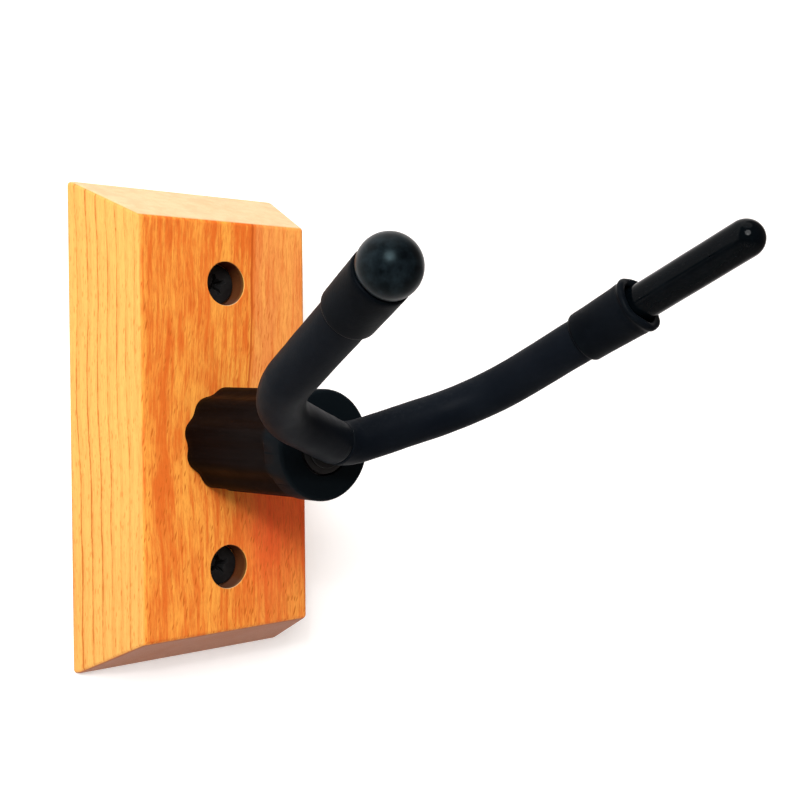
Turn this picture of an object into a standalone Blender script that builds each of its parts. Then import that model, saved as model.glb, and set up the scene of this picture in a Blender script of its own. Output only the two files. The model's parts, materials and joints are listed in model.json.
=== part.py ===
"""Wall hanger for a guitar: a bevelled hardwood block, a fluted stand-off and a swivelling yoke.

Row frame, metres: the origin is the centre of the block's back face, +Z is up, +X is to the
right as seen from the room and the hanger sticks out from the wall along -Y.
"""
import math

import bmesh
import bpy
from mathutils import Matrix, Vector

mm = 0.001
gap = 0.3 * mm

# hardwood block
block_height = 127.0 * mm
block_width = 63.5 * mm
block_depth = 25.4 * mm
block_strip = 2.0 * mm
side_bevel = 6.4 * mm
end_bevel = 10.2 * mm
arris = 0.8 * mm

# wall screws, counterbored into the block's front
screw_heights = {"upper": 37.2 * mm, "lower": -36.5 * mm}
counterbore_radius = 5.65 * mm
counterbore_depth = 5.7 * mm
seat_depth = 3.2 * mm
screw_hole_radius = 2.6 * mm
screw_head_radius = 5.2 * mm
screw_head_sink = 4.7 * mm
screw_core_radius = 1.75 * mm
screw_thread_radius = 2.3 * mm
screw_thread_pitch = 3.2 * mm
screw_reach = 24.0 * mm

# swivel axis, parallel to Y
axis_height = -3.2 * mm

# nut pocket in the back of the block
pocket_radius = 12.0 * mm
pocket_depth = 13.0 * mm

# fluted stand-off
hub_radius = 13.6 * mm
hub_front_radius = 13.3 * mm
hub_length = 40.8 * mm
hub_flutes = 10
hub_flute_depth = 0.9 * mm
hub_edge = 1.0 * mm
hub_collar = 8.0 * mm
hub_fade = 1.6 * mm
hub_bore_radius = 4.9 * mm
spigot_radius = 7.5 * mm
spigot_length = 6.0 * mm
bush_radius = 5.7 * mm
bush_length = 10.0 * mm
bush_flange_radius = 7.0 * mm
bush_flange = 1.2 * mm

# yoke
stem_radius = 4.0 * mm
neck_radius = 3.6 * mm
rod_radius = 3.175 * mm
centre_y = -72.2 * mm
elbow = Vector((31.9, -14.2, 10.2)) * mm
prong_direction = Vector((0.152, -0.876, 0.457)).normalized()
centre_bend = 9.0 * mm
elbow_bend = 28.0 * mm
sleeve_radius = 5.15 * mm
sleeve_bore = 3.45 * mm
sleeve_seam = 3

# distances along a prong, measured from the elbow's corner point
left_cuff_start = 39.0 * mm
left_cuff_end = 52.0 * mm
left_dome_centre = 54.8 * mm
left_dome_radius = 6.1 * mm
right_cuff_start = 31.5 * mm
right_cuff_end = 47.8 * mm
right_tip_centre = 74.3 * mm
right_tip_radius = 4.2 * mm
cuff_bore = 5.4 * mm
cuff_radius = 6.0 * mm
cuff_lip_radius = 6.75 * mm

front_y = -block_depth
hub_front_y = front_y - hub_length
centre = Vector((0.0, centre_y, axis_height))


def clear_scene():
    for item in list(bpy.data.objects):
        bpy.data.objects.remove(item, do_unlink=True)


def material(name, colour, roughness, metallic=0.0):
    made = bpy.data.materials.new(name)
    made.use_nodes = True
    shader = made.node_tree.nodes["Principled BSDF"]
    shader.inputs["Base Color"].default_value = (*colour, 1.0)
    shader.inputs["Roughness"].default_value = roughness
    shader.inputs["Metallic"].default_value = metallic
    return made


def make_object(name, points, faces, surface, origin=Vector((0.0, 0.0, 0.0)), sharp=40.0):
    """Mesh from world points, its origin moved to a point on the swivel axis where it turns."""
    mesh = bpy.data.meshes.new(name)
    mesh.from_pydata([Vector(p) - origin for p in points], [], faces)
    shaper = bmesh.new()
    shaper.from_mesh(mesh)
    bmesh.ops.recalc_face_normals(shaper, faces=shaper.faces)
    shaper.to_mesh(mesh)
    shaper.free()
    mesh.shade_smooth()
    mesh.set_sharp_from_angle(angle=math.radians(sharp))
    made = bpy.data.objects.new(name, mesh)
    made.location = origin
    bpy.context.scene.collection.objects.link(made)
    if surface is None:
        made.hide_render = True
        made.display_type = "WIRE"
    else:
        mesh.materials.append(surface)
    return made


def cut(target, cutter):
    step = target.modifiers.new("cut " + cutter.name, "BOOLEAN")
    step.operation = "DIFFERENCE"
    step.solver = "EXACT"
    step.object = cutter


def loft(rings, closed=False, solid_start=True, solid_end=True):
    """Points and faces of a skin over equal rings; closed joins the last ring to the first."""
    count = len(rings[0])
    points = [p for ring in rings for p in ring]
    faces = []
    last = len(rings) if closed else len(rings) - 1
    for i in range(last):
        a = i * count
        b = ((i + 1) % len(rings)) * count
        for k in range(count):
            n = (k + 1) % count
            faces.append((a + k, a + n, b + n, b + k))
    if not closed and solid_start:
        faces.append(tuple(range(count)))
    if not closed and solid_end:
        faces.append(tuple(range(len(points) - count, len(points))))
    return points, faces


def turned(name, profile, surface, height=axis_height, sides=32, hollow=False, origin=None):
    """Solid of revolution about an axis parallel to Y, from (y, radius) pairs."""
    rings = []
    for y, radius in profile:
        ring = []
        for k in range(sides):
            turn = 2.0 * math.pi * k / sides
            ring.append(Vector((radius * math.cos(turn), y, height + radius * math.sin(turn))))
        rings.append(ring)
    points, faces = loft(rings, closed=hollow)
    return make_object(name, points, faces, surface, origin or Vector((0.0, 0.0, 0.0)))


def rounded_path(corners, bends, step_degrees):
    """Polyline whose inner corners are replaced by tangent arcs of the given radii."""
    path = [Vector(corners[0])]
    for i in range(1, len(corners) - 1):
        corner = Vector(corners[i])
        back = (Vector(corners[i - 1]) - corner).normalized()
        ahead = (Vector(corners[i + 1]) - corner).normalized()
        half = back.angle(ahead) / 2.0
        radius = bends[i - 1]
        middle = corner + (back + ahead).normalized() * radius / math.sin(half)
        start = corner + back * radius / math.tan(half) - middle
        sweep = math.pi - 2.0 * half
        spin = start.cross(back * -1.0).normalized()
        steps = max(2, round(math.degrees(sweep) / step_degrees))
        for k in range(steps + 1):
            path.append(middle + Matrix.Rotation(sweep * k / steps, 3, spin) @ start)
    path.append(Vector(corners[-1]))
    return path


def sweep_rings(path, radii, sides, first_normal):
    """One ring of points round each path point, carried along without twist."""
    rings = []
    side = None
    for i, point in enumerate(path):
        before = path[max(i - 1, 0)]
        after = path[min(i + 1, len(path) - 1)]
        tangent = (after - before).normalized()
        if i == 0 and first_normal is not None:
            tangent = first_normal
        if side is None:
            side = tangent.cross(Vector((0.0, 0.0, 1.0))).normalized()
        side = (side - tangent * side.dot(tangent)).normalized()
        lift = side.cross(tangent)
        ring = []
        for k in range(sides):
            turn = 2.0 * math.pi * k / sides
            ring.append(point + radii[i] * (side * math.cos(turn) + lift * math.sin(turn)))
        rings.append(ring)
    return rings


def corner_point(hand):
    return centre + Vector((hand * elbow.x, elbow.y, elbow.z))


def prong_point(hand, distance):
    along = Vector((hand * prong_direction.x, prong_direction.y, prong_direction.z))
    return corner_point(hand) + along * distance


def arm_path(hand, reach, step=7.0):
    """Half of the yoke's centre line, from its middle to a distance along one prong."""
    corners = [prong_point(-hand, 0.0), centre, corner_point(hand), prong_point(hand, reach)]
    path = rounded_path(corners, [centre_bend, elbow_bend], step)
    kept = [p for p in path[1:] if hand * p.x > 0.6 * mm]
    middle = next(p for p in path[1:] if abs(p.x) < 0.01 * mm)
    return [middle] + kept


def along_prong(name, hand, profile, surface, sides=28, hollow=False):
    """Turned piece on a prong's own axis, from (distance, radius) pairs."""
    path = [prong_point(hand, distance) for distance, _ in profile]
    along = (prong_point(hand, 1.0) - prong_point(hand, 0.0)).normalized()
    side = along.cross(Vector((0.0, 0.0, 1.0))).normalized()
    lift = side.cross(along)
    rings = []
    for (distance, radius), point in zip(profile, path):
        ring = []
        for k in range(sides):
            turn = 2.0 * math.pi * k / sides
            ring.append(point + radius * (side * math.cos(turn) + lift * math.sin(turn)))
        rings.append(ring)
    points, faces = loft(rings, closed=hollow)
    return make_object(name, points, faces, surface, centre)


def dome(middle, radius, steps=7, first=0.0):
    """(distance, radius) pairs of a round end, from an angle round to the tip."""
    pairs = []
    for k in range(steps):
        turn = first + (math.pi / 2.0 - first) * (k + 0.5 * (k == steps - 1)) / (steps - 0.6)
        pairs.append((middle + radius * math.sin(turn), radius * math.cos(turn)))
    return pairs


def build_block(surface):
    half_w = block_width / 2.0
    half_h = block_height / 2.0
    outline = []
    for y, inset_x, inset_z in ((0.0, 0.0, 0.0), (-block_strip, 0.0, 0.0), (front_y, side_bevel, end_bevel)):
        w = half_w - inset_x
        h = half_h - inset_z
        outline.append([Vector((-w, y, -h)), Vector((w, y, -h)), Vector((w, y, h)), Vector((-w, y, h))])
    points, faces = loft(outline)
    block = make_object("wood_base", points, faces, surface, sharp=20.0)
    soften = block.modifiers.new("arrises", "BEVEL")
    soften.width = arris
    soften.segments = 2
    soften.limit_method = "ANGLE"
    soften.angle_limit = math.radians(20.0)
    for label, height in screw_heights.items():
        floor = front_y + counterbore_depth
        profile = [
            (front_y - 1.0 * mm, counterbore_radius),
            (floor, counterbore_radius),
            (floor + seat_depth, screw_hole_radius),
            (1.0 * mm, screw_hole_radius),
        ]
        cut(block, turned("hole_" + label, profile, None, height=height, sides=40))
    through = [
        (front_y - 1.0 * mm, spigot_radius + gap),
        (front_y + spigot_length + gap, spigot_radius + gap),
        (front_y + spigot_length + gap, stem_radius + 1.0 * mm),
        (-pocket_depth, stem_radius + 1.0 * mm),
        (-pocket_depth, pocket_radius),
        (1.0 * mm, pocket_radius),
    ]
    cut(block, turned("hole_swivel", through, None, sides=40))


def build_hub(surface):
    """Fluted bar with a smooth front collar and a rear spigot, bored through for a bush at each end."""
    per_flute = 8
    sides = hub_flutes * per_flute
    stations = [
        (front_y + spigot_length, spigot_radius, 0.0),
        (front_y - gap, spigot_radius, 0.0),
        (front_y - gap, hub_radius, 1.0),
        (hub_front_y + hub_collar, hub_front_radius, 1.0),
        (hub_front_y + hub_collar - hub_fade, hub_front_radius, 0.0),
        (hub_front_y + hub_edge, hub_front_radius, 0.0),
        (hub_front_y + 0.3 * hub_edge, hub_front_radius - 0.3 * hub_edge, 0.0),
        (hub_front_y, hub_front_radius - hub_edge, 0.0),
    ]
    rings = []
    for y, radius, share in stations:
        ring = []
        for k in range(sides):
            turn = 2.0 * math.pi * k / sides
            wave = 0.5 - 0.5 * math.cos(hub_flutes * (turn - math.radians(24.0)))
            r = radius - share * hub_flute_depth * wave
            ring.append(Vector((r * math.cos(turn), y, axis_height + r * math.sin(turn))))
        rings.append(ring)
    points, faces = loft(rings)
    hub = make_object("fluted_hub", points, faces, surface, sharp=35.0)
    rear_end = front_y + spigot_length
    flange_seat = hub_front_y + bush_flange + 0.8 * mm + 2.0 * gap
    bore = [
        (rear_end + 1.0 * mm, bush_radius + gap),
        (rear_end - bush_length - gap, bush_radius + gap),
        (rear_end - bush_length - gap, hub_bore_radius),
        (flange_seat + bush_length + gap, hub_bore_radius),
        (flange_seat + bush_length + gap, bush_radius + gap),
        (flange_seat + gap, bush_radius + gap),
        (flange_seat + gap, bush_flange_radius + gap),
        (hub_front_y - 1.0 * mm, bush_flange_radius + gap),
    ]
    cut(hub, turned("hole_hub", bore, None, sides=32))


def build_bushes(surface, washer_surface):
    """Plain bush at the rear, flanged bush at the front and the washer that the yoke bears on."""
    rear_end = front_y + spigot_length
    inner = stem_radius + gap
    rear = [
        (rear_end - gap, inner),
        (rear_end - gap, bush_radius),
        (rear_end - bush_length, bush_radius),
        (rear_end - bush_length, inner),
    ]
    turned("hub_rear_bush", rear, surface, hollow=True)
    back = hub_front_y + bush_flange + 0.8 * mm + 2.0 * gap
    front = [
        (back + bush_length, inner),
        (back + bush_length, bush_radius),
        (back, bush_radius),
        (back, bush_flange_radius),
        (back - bush_flange, bush_flange_radius),
        (back - bush_flange, inner),
    ]
    turned("hub_front_bush", front, surface, hollow=True)
    washer = [
        (back - bush_flange - gap, inner),
        (back - bush_flange - gap, bush_flange_radius - gap),
        (hub_front_y, bush_flange_radius - gap),
        (hub_front_y, inner),
    ]
    turned("hub_thrust_washer", washer, washer_surface, hollow=True)


def build_stem(surface):
    """Turned stem whose narrow nose is saddled to the back of the bent rod."""
    profile = [
        (-1.0 * mm, stem_radius - 0.8 * mm),
        (-1.8 * mm, stem_radius),
        (hub_front_y - gap, stem_radius),
        (hub_front_y - gap, stem_radius + 1.4 * mm),
        (hub_front_y - gap - 0.4 * mm, stem_radius + 1.4 * mm),
        (hub_front_y - gap - 0.4 * mm, neck_radius),
        (centre_y - 1.0 * mm, neck_radius),
    ]
    stem = turned("yoke_stem", profile, surface, sides=28, origin=centre)
    path = arm_path(-1.0, 1.0 * mm)[:5]
    path.reverse()
    path += arm_path(1.0, 1.0 * mm)[1:5]
    rings = sweep_rings(path, [rod_radius + gap] * len(path), 16, None)
    points, faces = loft(rings)
    cut(stem, make_object("saddle_groove", points, faces, None))


def build_rod(surface):
    left = arm_path(-1.0, left_dome_centre + 1.5 * mm)
    right = arm_path(1.0, right_tip_centre - 0.4 * mm)
    path = list(reversed(left)) + right[1:]
    rings = sweep_rings(path, [rod_radius] * len(path), 16, None)
    points, faces = loft(rings)
    make_object("yoke_rod", points, faces, surface, centre)


def build_sleeve(name, hand, reach, surface):
    """Soft tube over one arm of the rod; the two meet a little to the left of the middle."""
    left = arm_path(-1.0, reach)
    seam = left[sleeve_seam]
    away = (left[sleeve_seam + 1] - left[sleeve_seam - 1]).normalized()
    if hand < 0.0:
        path = left[sleeve_seam:]
        square = away
    else:
        path = list(reversed(left[1:sleeve_seam + 1])) + arm_path(hand, reach)
        square = -away
    path[0] = seam + square * gap / 2.0
    outer = sweep_rings(path, [sleeve_radius] * len(path), 24, square)
    inner = sweep_rings(path, [sleeve_bore] * len(path), 24, square)
    inner.reverse()
    points, faces = loft(outer + inner, closed=True)
    sleeve = make_object(name, points, faces, surface, centre)
    notch = [(hub_front_y, neck_radius + gap), (centre_y - 1.3 * mm, neck_radius + gap)]
    cut(sleeve, turned(name + "_notch", notch, None, sides=20, origin=centre))


def build_arm_ends(sleeve_surface, cap_surface):
    """Cuff and cap on each prong: closed and full-size on the left, long and slim on the right."""
    left_seat = left_cuff_start + 6.5 * mm
    right_seat = right_cuff_start + 7.5 * mm
    build_sleeve("left_sleeve", -1.0, left_seat, sleeve_surface)
    build_sleeve("right_sleeve", 1.0, right_seat, sleeve_surface)
    left_cuff = [
        (left_cuff_start, cuff_bore),
        (left_cuff_start, cuff_radius - 0.35 * mm),
        (left_cuff_start + 0.8 * mm, cuff_radius - 0.1 * mm),
        (left_cuff_end - 1.0 * mm, cuff_radius),
        (left_cuff_end, cuff_radius - 0.2 * mm),
        (left_cuff_end, cuff_bore),
    ]
    along_prong("left_cuff", -1.0, left_cuff, sleeve_surface, hollow=True)
    right_cuff = [
        (right_cuff_start, cuff_bore),
        (right_cuff_start, cuff_radius - 0.3 * mm),
        (right_cuff_start + 0.8 * mm, cuff_radius),
        (right_cuff_end - 4.0 * mm, cuff_radius + 0.35 * mm),
        (right_cuff_end - 1.2 * mm, cuff_lip_radius),
        (right_cuff_end, cuff_lip_radius - 0.35 * mm),
        (right_cuff_end, cuff_bore + 0.5 * mm),
        (right_cuff_end - 3.0 * mm, cuff_bore),
    ]
    along_prong("right_cuff", 1.0, right_cuff, sleeve_surface, hollow=True)
    skirt = cuff_bore - gap
    start = left_seat + gap
    left_cap = [
        (left_dome_centre + 2.0 * mm, 1.2 * mm),
        (left_dome_centre + 2.0 * mm, sleeve_bore),
        (start, sleeve_bore),
        (start, skirt),
        (left_cuff_end + gap, skirt),
        (left_cuff_end + gap, left_dome_radius - 0.5 * mm),
    ]
    left_cap += dome(left_dome_centre, left_dome_radius, 9, math.radians(-14.0))
    along_prong("left_end_cap", -1.0, left_cap, cap_surface)
    start = right_seat + gap
    right_cap = [
        (right_tip_centre, 1.2 * mm),
        (right_tip_centre, sleeve_bore),
        (start, sleeve_bore),
        (start, right_tip_radius),
        (right_tip_centre - 2.0 * mm, right_tip_radius),
    ]
    right_cap += dome(right_tip_centre, right_tip_radius, 8)
    along_prong("right_end_cap", 1.0, right_cap, cap_surface)


def hexagon_nut(name, near, far, across_flats, bore, surface):
    """Hexagonal ring between two stations of the swivel axis, corners rounded off by a chamfer."""
    sides = 24
    chamfer = 0.6 * mm
    rings = []
    for y, trim in ((near, 1.0), (near - chamfer, 0.0), (far + chamfer, 0.0), (far, 1.0)):
        ring = []
        for k in range(sides):
            turn = 2.0 * math.pi * k / sides
            face = math.radians(60.0) * round(turn / math.radians(60.0))
            flat = across_flats / 2.0 / math.cos(turn - face)
            r = min(flat, across_flats / 2.0 + (1.0 - trim) * 1.2 * mm)
            ring.append(Vector((r * math.cos(turn), y, axis_height + r * math.sin(turn))))
        rings.append(ring)
    for y in (far, near):
        ring = []
        for k in range(sides):
            turn = 2.0 * math.pi * k / sides
            ring.append(Vector((bore * math.cos(turn), y, axis_height + bore * math.sin(turn))))
        rings.append(ring)
    points, faces = loft(rings, closed=True)
    return make_object(name, points, faces, surface, centre, sharp=25.0)


def build_rear_fixing(steel, nylon):
    """Flat washer, split washer and self-locking nut in the pocket behind the block."""
    inner = stem_radius + gap
    floor = -pocket_depth + gap
    flat = [(floor, inner), (floor, 10.0 * mm), (floor + 1.6 * mm, 10.0 * mm), (floor + 1.6 * mm, inner)]
    turned("rear_flat_washer", flat, steel, hollow=True)
    low = floor + 1.6 * mm + gap
    high = low + 2.0 * mm
    sides = 28
    opening = math.radians(8.0)
    rings = []
    for k in range(sides + 1):
        turn = opening + (2.0 * math.pi - 2.0 * opening) * k / sides
        arm = Vector((math.cos(turn), 0.0, math.sin(turn)))
        rings.append([
            arm * inner + Vector((0.0, low, axis_height)),
            arm * 7.2 * mm + Vector((0.0, low, axis_height)),
            arm * 7.2 * mm + Vector((0.0, high, axis_height)),
            arm * inner + Vector((0.0, high, axis_height)),
        ])
    points, faces = loft(rings)
    make_object("spring_washer", points, faces, steel, centre)
    near = high + gap
    hexagon_nut("lock_nut", near + 6.2 * mm, near, 13.0 * mm, inner, steel)
    ring_start = near + 6.2 * mm + gap
    collar = [
        (ring_start, inner),
        (ring_start, 5.6 * mm),
        (ring_start + 0.9 * mm, 5.2 * mm),
        (ring_start + 0.9 * mm, inner),
    ]
    turned("nut_locking_ring", collar, nylon, hollow=True, origin=centre)


def build_wall_screw(label, height, surface):
    """Countersunk screw with a cross recess, its thread running on into the wall."""
    top = front_y + screw_head_sink
    under = top + 0.7 * mm + 3.0 * mm
    profile = [
        (top, screw_head_radius - 0.3 * mm),
        (top + 0.2 * mm, screw_head_radius),
        (top + 0.7 * mm, screw_head_radius),
        (under, screw_core_radius + 0.2 * mm),
        (-3.0 * mm, screw_core_radius + 0.2 * mm),
    ]
    turns = int((screw_reach - 4.0 * mm + 2.0 * mm) / screw_thread_pitch)
    y = -2.0 * mm
    for _ in range(turns):
        profile.append((y, screw_core_radius))
        profile.append((y + 0.45 * screw_thread_pitch, screw_thread_radius))
        profile.append((y + 0.6 * screw_thread_pitch, screw_core_radius))
        y += screw_thread_pitch
    profile.append((y, screw_core_radius))
    profile.append((screw_reach, 0.3 * mm))
    screw = turned(label + "_wall_screw", profile, surface, height=height, sides=20)
    for index, tilt in enumerate((20.0, 110.0)):
        arm = 3.1 * mm
        thick = 0.6 * mm
        rings = []
        for y, share in ((top - 1.0 * mm, 1.12), (top + 2.2 * mm, 0.45)):
            ring = []
            reach = arm * share
            for u, v in ((-reach, -thick), (reach, -thick), (reach, thick), (-reach, thick)):
                c = math.cos(math.radians(tilt))
                s = math.sin(math.radians(tilt))
                ring.append(Vector((u * c - v * s, y, height + u * s + v * c)))
            rings.append(ring)
        points, faces = loft(rings)
        cut(screw, make_object(label + "_recess_" + str(index), points, faces, None))


def build():
    clear_scene()
    beech = material("beech", (0.78, 0.34, 0.09), 0.38)
    black_plastic = material("black_plastic", (0.018, 0.017, 0.018), 0.42)
    black_rubber = material("black_rubber", (0.020, 0.022, 0.026), 0.62)
    gloss_cap = material("gloss_cap", (0.008, 0.009, 0.012), 0.14)
    steel = material("zinc_steel", (0.62, 0.63, 0.65), 0.35, 1.0)
    black_steel = material("black_steel", (0.022, 0.021, 0.022), 0.40, 0.6)
    acetal = material("acetal", (0.022, 0.022, 0.024), 0.42)
    nylon = material("blue_nylon", (0.10, 0.22, 0.50), 0.45)
    build_block(beech)
    build_hub(black_plastic)
    build_bushes(acetal, black_steel)
    build_stem(black_steel)
    build_rod(black_steel)
    build_arm_ends(black_rubber, gloss_cap)
    build_rear_fixing(steel, nylon)
    for label, height in screw_heights.items():
        build_wall_screw(label, height, black_steel)


build()
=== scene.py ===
import json
import math

import bmesh
import bpy
from mathutils import Matrix, Vector, noise


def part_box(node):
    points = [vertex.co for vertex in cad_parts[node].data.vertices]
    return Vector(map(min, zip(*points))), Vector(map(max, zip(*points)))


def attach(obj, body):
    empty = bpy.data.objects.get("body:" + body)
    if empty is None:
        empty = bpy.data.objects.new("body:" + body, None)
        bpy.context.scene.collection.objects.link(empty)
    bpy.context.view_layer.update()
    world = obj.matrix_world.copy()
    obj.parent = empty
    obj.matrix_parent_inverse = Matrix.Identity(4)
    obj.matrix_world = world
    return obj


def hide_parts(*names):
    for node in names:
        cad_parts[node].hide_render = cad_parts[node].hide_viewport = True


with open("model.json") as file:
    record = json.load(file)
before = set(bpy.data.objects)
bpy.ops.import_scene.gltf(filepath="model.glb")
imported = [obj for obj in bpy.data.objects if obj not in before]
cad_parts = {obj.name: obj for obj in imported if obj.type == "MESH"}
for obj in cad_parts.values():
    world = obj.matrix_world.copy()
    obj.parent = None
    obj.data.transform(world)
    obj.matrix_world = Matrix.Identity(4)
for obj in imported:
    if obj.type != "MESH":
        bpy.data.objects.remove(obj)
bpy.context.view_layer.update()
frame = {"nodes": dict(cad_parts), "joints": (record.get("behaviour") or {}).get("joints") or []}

mm = 0.001
fullTurn = 2.0 * math.pi
gap = 0.3 * mm  # free space kept between neighbouring parts
scene = bpy.context.scene
world = scene.collection

swivel = Vector(frame["joints"][0]["pos_m"])  # middle of the yoke, on its own axis
swivelHeight = swivel.z
blockLow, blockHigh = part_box("wood_base")
blockFront = blockLow.y
hubLow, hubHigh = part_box("fluted_hub")

# the yoke's own shape, from the swivel: every arm piece is laid on this line
yoke = {
    "elbow": Vector((31.9, -14.2, 10.2)) * mm,
    "prong": Vector((0.152, -0.876, 0.457)).normalized(),
    "middleBend": 9.0 * mm,
    "elbowBend": 28.0 * mm,
    "tubeRadius": 5.15 * mm,
    "tubeBore": 3.45 * mm,
    "rodRadius": 3.175 * mm,
    "noseHole": 3.9 * mm,
    "seam": 3.3 * mm,
    "seamLip": 0.8 * mm,
    "sides": 56,
}


def makePiece(name, points, faces, body):
    # a mesh piece; with a body it rides there
    mesh = bpy.data.meshes.new(name)
    mesh.from_pydata([tuple(p) for p in points], [], faces)
    shaper = bmesh.new()
    shaper.from_mesh(mesh)
    bmesh.ops.recalc_face_normals(shaper, faces=shaper.faces)
    shaper.to_mesh(mesh)
    shaper.free()
    piece = bpy.data.objects.new(name, mesh)
    world.objects.link(piece)
    if body:
        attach(piece, body)
    return piece


def dress(piece, surface, node, smooth):
    # smooth shading with sharp corners over an angle, one finish, and the node it stands for
    piece.data.shade_smooth()
    piece.data.set_sharp_from_angle(angle=math.radians(smooth))
    piece.data.materials.clear()
    piece.data.materials.append(surface)
    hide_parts(node)


def skin(rings, closed=False):
    # points and faces over a row of rings, capped at both ends unless it closes on itself
    count = len(rings[0])
    points = [p for ring in rings for p in ring]
    faces = []
    for i in range(len(rings) if closed else len(rings) - 1):
        a = i * count
        b = ((i + 1) % len(rings)) * count
        for k in range(count):
            n = (k + 1) % count
            faces.append((a + k, a + n, b + n, b + k))
    if not closed:
        faces.append(tuple(range(count)))
        faces.append(tuple(range(len(points) - count, len(points))))
    return points, faces


def turn(axisPoint, axis, side, profile, sides, shape=None):
    # rings round an axis; shape(distance, angle, radius) may shift the distance and the radius
    lift = axis.cross(side)
    rings = []
    for distance, radius in profile:
        ring = []
        for k in range(sides):
            angle = fullTurn * k / sides
            d, r = shape(distance, angle, radius) if shape else (distance, radius)
            ring.append(axisPoint + axis * d + (side * math.cos(angle) + lift * math.sin(angle)) * r)
        rings.append(ring)
    return rings


def turnOnSwivel(profile, sides, shape=None, height=None):
    # the same round an axis along Y, with distance as the y of the ring
    middle = Vector((0.0, 0.0, swivelHeight if height is None else height))
    return turn(middle, Vector((0.0, 1.0, 0.0)), Vector((1.0, 0.0, 0.0)), profile, sides, shape)


def carve(piece, rings):
    # cuts a turned or lofted tool out of a piece for good
    points, faces = skin(rings)
    tool = makePiece("tool", points, faces, None)
    step = piece.modifiers.new("carve", "BOOLEAN")
    step.operation = "DIFFERENCE"
    step.solver = "EXACT"
    step.object = tool
    settle(piece)
    bpy.data.objects.remove(tool, do_unlink=True)


def settle(piece):
    # applies the piece's modifiers
    bpy.context.view_layer.update()
    evaluated = piece.evaluated_get(bpy.context.evaluated_depsgraph_get())
    mesh = bpy.data.meshes.new_from_object(evaluated)
    piece.modifiers.clear()
    old = piece.data
    piece.data = mesh
    bpy.data.meshes.remove(old)


class Wiring:
    # short forms for building a node tree

    def __init__(self, tree):
        self.tree = tree
        self.column = 0

    def add(self, kind, sockets=None, **settings):
        node = self.tree.nodes.new(kind)
        self.column += 1
        node.location = (180 * (self.column % 12), -220 * (self.column // 12))
        for key, value in settings.items():
            setattr(node, key, value)
        for key, value in (sockets or {}).items():
            self.feed(node.inputs[key], value)
        return node

    def feed(self, socket, value):
        if isinstance(value, bpy.types.NodeSocket):
            self.tree.links.new(value, socket)
        else:
            socket.default_value = value

    def math(self, operation, a, b=0.0, clamp=False):
        node = self.add("ShaderNodeMath", {0: a, 1: b}, operation=operation, use_clamp=clamp)
        return node.outputs[0]

    def plus(self, a, b, clamp=False):
        return self.math("ADD", a, b, clamp)

    def minus(self, a, b, clamp=False):
        return self.math("SUBTRACT", a, b, clamp)

    def times(self, a, b, clamp=False):
        return self.math("MULTIPLY", a, b, clamp)

    def ease(self, value, low, high, toLow=0.0, toHigh=1.0):
        return self.remap(value, low, high, toLow, toHigh, "SMOOTHSTEP")

    def remap(self, value, low, high, toLow=0.0, toHigh=1.0, kind="LINEAR"):
        node = self.add("ShaderNodeMapRange", {0: value, 1: low, 2: high, 3: toLow, 4: toHigh},
                        interpolation_type=kind)
        return node.outputs[0]

    def blend(self, factor, a, b):
        return self.add("ShaderNodeMix", {0: factor, 6: a, 7: b}, data_type="RGBA").outputs[2]

    def scaled(self, where, by):
        return self.add("ShaderNodeVectorMath", {0: where, 1: by}, operation="MULTIPLY").outputs[0]

    def noise(self, where, scale, detail=3.0, rough=0.5, distort=0.0):
        node = self.add("ShaderNodeTexNoise", {"Vector": where, "Scale": scale, "Detail": detail,
                                               "Roughness": rough, "Distortion": distort})
        return node.outputs["Fac"]

    def stretched(self, where, stretch, detail=3.0, rough=0.5):
        return self.noise(self.scaled(where, stretch), 1.0, detail, rough)

    def bump(self, height, strength, distance):
        node = self.add("ShaderNodeBump", {"Height": height, "Strength": strength, "Distance": distance})
        return node.outputs["Normal"]

    def group(self, tree, sockets):
        node = self.add("ShaderNodeGroup", None, node_tree=tree)
        for key, value in sockets.items():
            self.feed(node.inputs[key], value)
        return node


def newGroup(name, inputs, outputs):
    tree = bpy.data.node_groups.new(name, "ShaderNodeTree")
    kinds = {"value": "NodeSocketFloat", "colour": "NodeSocketColor", "vector": "NodeSocketVector"}
    for label, kind, start in inputs:
        socket = tree.interface.new_socket(name=label, in_out="INPUT", socket_type=kinds[kind])
        if start is not None:
            socket.default_value = start
    for label, kind in outputs:
        tree.interface.new_socket(name=label, in_out="OUTPUT", socket_type=kinds[kind])
    wiring = Wiring(tree)
    return wiring, wiring.add("NodeGroupInput").outputs, wiring.add("NodeGroupOutput").inputs


def rgb(r, g, b):
    return (r, g, b, 1.0)


def newFinish(name, **sockets):
    # a new material; what is the same all over goes straight on the shader's own sockets
    finish = bpy.data.materials.new(name)
    finish.use_nodes = True
    wiring = Wiring(finish.node_tree)
    shader = finish.node_tree.nodes["Principled BSDF"]
    for key, value in sockets.items():
        shader.inputs[key.replace("_", " ")].default_value = value
    return finish, wiring, shader.inputs


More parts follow.
